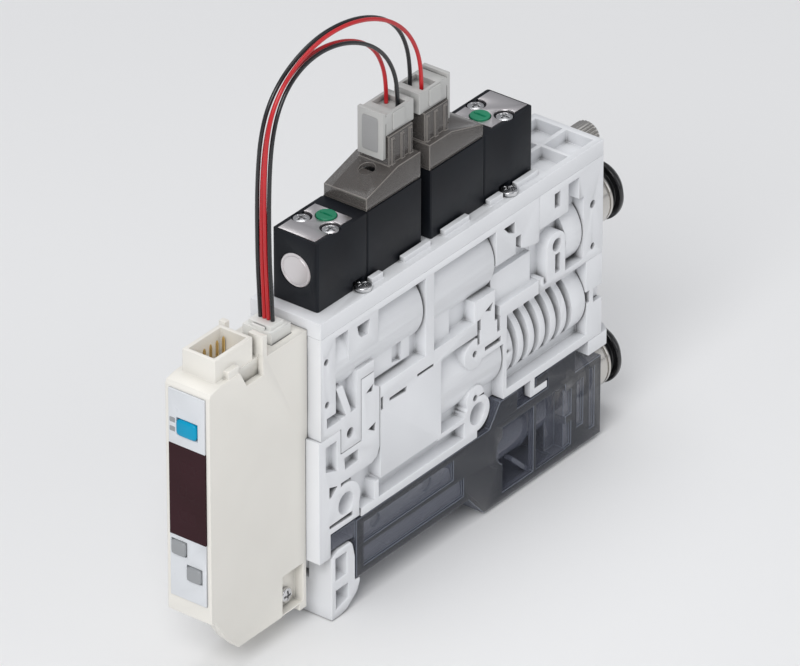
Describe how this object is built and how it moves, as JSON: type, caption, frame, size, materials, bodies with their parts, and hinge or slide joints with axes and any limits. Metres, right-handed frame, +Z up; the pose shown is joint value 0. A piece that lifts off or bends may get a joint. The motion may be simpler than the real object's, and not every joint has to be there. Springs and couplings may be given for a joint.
{
  "type": "vacuum generator",
  "caption": "Slim vacuum generator: moulded ejector body with pilot valves, pressure switch, clear filter case and push-in tube fittings.",
  "frame": {"origin": "midway between the two mounting holes, on the middle plane of the slim body", "axes": "+X from the display end to the fitting end, +Y across the slim width, +Z up towards the pilot valves"},
  "size_m": [0.1202, 0.0154, 0.1119],
  "materials": {
    "white_moulding": "fine satin moulding",
    "cream_moulding": "fine satin moulding",
    "pale_panel": "satin printed film",
    "dark_window": "dark red clear window",
    "blue_key": "satin",
    "grey_key": "satin",
    "black_plastic": "semi-gloss moulding",
    "smoky_clear": "smoky clear moulding",
    "satin_steel": "satin",
    "green_plastic": "semi-gloss",
    "grey_plug": "satin moulding",
    "white_plug": "satin moulding",
    "small_screw": "bright plated",
    "gold_pin": "gold plated",
    "nickel": "bright nickel plate",
    "black_collar": "gloss moulding",
    "collet_steel": "bright",
    "seal_rubber": "matte",
    "smoky_case": "smoky clear moulding",
    "porous_white": "porous",
    "spool_metal": "ground",
    "jet_brass": "turned",
    "coil_copper": "enamelled copper winding",
    "plunger_iron": "ground",
    "red_lead": "glossy insulation",
    "black_lead": "glossy insulation"
  },
  "bodies": {
    "body": {"valve_base": "white_moulding", "valve_gaskets": "seal_rubber", "valve_screws": "small_screw", "ejector_body": "white_moulding", "port_block": "white_moulding", "switch_adapter": "white_moulding", "silencer_cap": "white_moulding", "silencer_element": "porous_white", "retainer_plate": "white_moulding", "lever_pin": "collet_steel", "barrel_plug": "spool_metal", "ejector_nozzle": "jet_brass", "ejector_diffuser": "jet_brass", "supply_fitting_body": "nickel", "supply_collet": "collet_steel", "supply_seal": "seal_rubber", "supply_valve_body": "black_plastic", "supply_coil_case": "black_plastic", "supply_valve_cover": "smoky_clear", "supply_valve_plate": "satin_steel", "release_valve_body": "black_plastic", "release_coil_case": "black_plastic", "release_valve_cover": "smoky_clear", "release_valve_plate": "satin_steel", "valve_end_discs": "satin_steel", "solenoid_coils": "coil_copper", "supply_plug": "grey_plug", "release_plug": "grey_plug", "switch_housing": "cream_moulding", "switch_front_panel": "pale_panel", "display_window": "dark_window", "switch_pins": "gold_pin", "switch_plug": "white_plug", "switch_screw": "small_screw", "supply_lead_red": "red_lead", "supply_lead_black": "black_lead", "release_lead_red": "red_lead", "release_lead_black": "black_lead"},
    "supply_override": {"supply_override_button": "green_plastic"},
    "release_override": {"release_override_button": "green_plastic"},
    "supply_armature": {"supply_plunger": "plunger_iron"},
    "release_armature": {"release_plunger": "plunger_iron"},
    "supply_shuttle": {"supply_spool": "spool_metal"},
    "release_shuttle": {"release_spool": "spool_metal"},
    "check_valve": {"check_valve_disc": "seal_rubber"},
    "supply_collar": {"supply_release_collar": "black_collar"},
    "filter_unit": {"filter_case": "smoky_case", "filter_element": "porous_white", "filter_case_seal": "seal_rubber", "vacuum_fitting_body": "nickel", "vacuum_collet": "collet_steel", "vacuum_seal": "seal_rubber"},
    "vacuum_collar": {"vacuum_release_collar": "black_collar"},
    "needle": {"needle_stem": "nickel"},
    "knob": {"needle_knob": "nickel"},
    "lock_nut": {"needle_lock_nut": "nickel"},
    "set_key": {"set_button": "blue_key"},
    "up_key": {"up_button": "grey_key"},
    "down_key": {"down_button": "grey_key"},
    "lever": {"lock_lever": "white_moulding"}
  },
  "joints": [
    {"name": "supply_override_press", "type": "slide", "parent": "body", "child": "supply_override", "axis": [0, 0, -1], "range_m": [0, 0.0008], "stiffness_N_per_m": 300},
    {"name": "release_override_press", "type": "slide", "parent": "body", "child": "release_override", "axis": [0, 0, -1], "range_m": [0, 0.0008], "stiffness_N_per_m": 300},
    {"name": "supply_plunger_travel", "type": "slide", "parent": "body", "child": "supply_armature", "axis": [1, 0, 0], "range_m": [0, 0.0005], "stiffness_N_per_m": 300},
    {"name": "release_plunger_travel", "type": "slide", "parent": "body", "child": "release_armature", "axis": [-1, 0, 0], "range_m": [0, 0.0005], "stiffness_N_per_m": 300},
    {"name": "supply_spool_travel", "type": "slide", "parent": "body", "child": "supply_shuttle", "axis": [1, 0, 0], "range_m": [0, 0.002]},
    {"name": "release_spool_travel", "type": "slide", "parent": "body", "child": "release_shuttle", "axis": [1, 0, 0], "range_m": [0, 0.002]},
    {"name": "check_valve_lift", "type": "slide", "parent": "body", "child": "check_valve", "axis": [0, 0, 1], "range_m": [0, 0.0007]},
    {"name": "supply_collar_press", "type": "slide", "parent": "body", "child": "supply_collar", "axis": [-1, 0, 0], "range_m": [0, 0.0011], "stiffness_N_per_m": 300},
    {"name": "filter_case_slide", "type": "slide", "parent": "body", "child": "filter_unit", "axis": [1, 0, 0], "range_m": [0, 0.0036]},
    {"name": "vacuum_collar_press", "type": "slide", "parent": "filter_unit", "child": "vacuum_collar", "axis": [-1, 0, 0], "range_m": [0, 0.0011], "stiffness_N_per_m": 300},
    {"name": "needle_travel", "type": "slide", "parent": "body", "child": "needle", "axis": [1, 0, 0], "range_m": [-0.001, 0.002]},
    {"name": "knob_turn", "type": "hinge", "parent": "needle", "child": "knob", "pos_m": [0.056, 0.0022, 0.0331], "axis": [1, 0, 0], "range_deg": [-720, 1440]},
    {"name": "lock_nut_turn", "type": "hinge", "parent": "body", "child": "lock_nut", "pos_m": [0.056, 0.0022, 0.0331], "axis": [1, 0, 0], "range_deg": [-180, 180]},
    {"name": "set_button_press", "type": "slide", "parent": "body", "child": "set_key", "axis": [1, 0, 0], "range_m": [0, 0.00035], "stiffness_N_per_m": 300},
    {"name": "up_button_press", "type": "slide", "parent": "body", "child": "up_key", "axis": [1, 0, 0], "range_m": [0, 0.00035], "stiffness_N_per_m": 300},
    {"name": "down_button_press", "type": "slide", "parent": "body", "child": "down_key", "axis": [1, 0, 0], "range_m": [0, 0.00035], "stiffness_N_per_m": 300},
    {"name": "lock_lever_swing", "type": "hinge", "parent": "body", "child": "lever", "pos_m": [-0.0203, 0, -0.0127], "axis": [0, 1, 0], "range_deg": [0, 15]}
  ],
  "couplings": [
    {"joint": "knob_turn", "follows": "needle_travel", "rad_per_m": 12566}
  ]
}
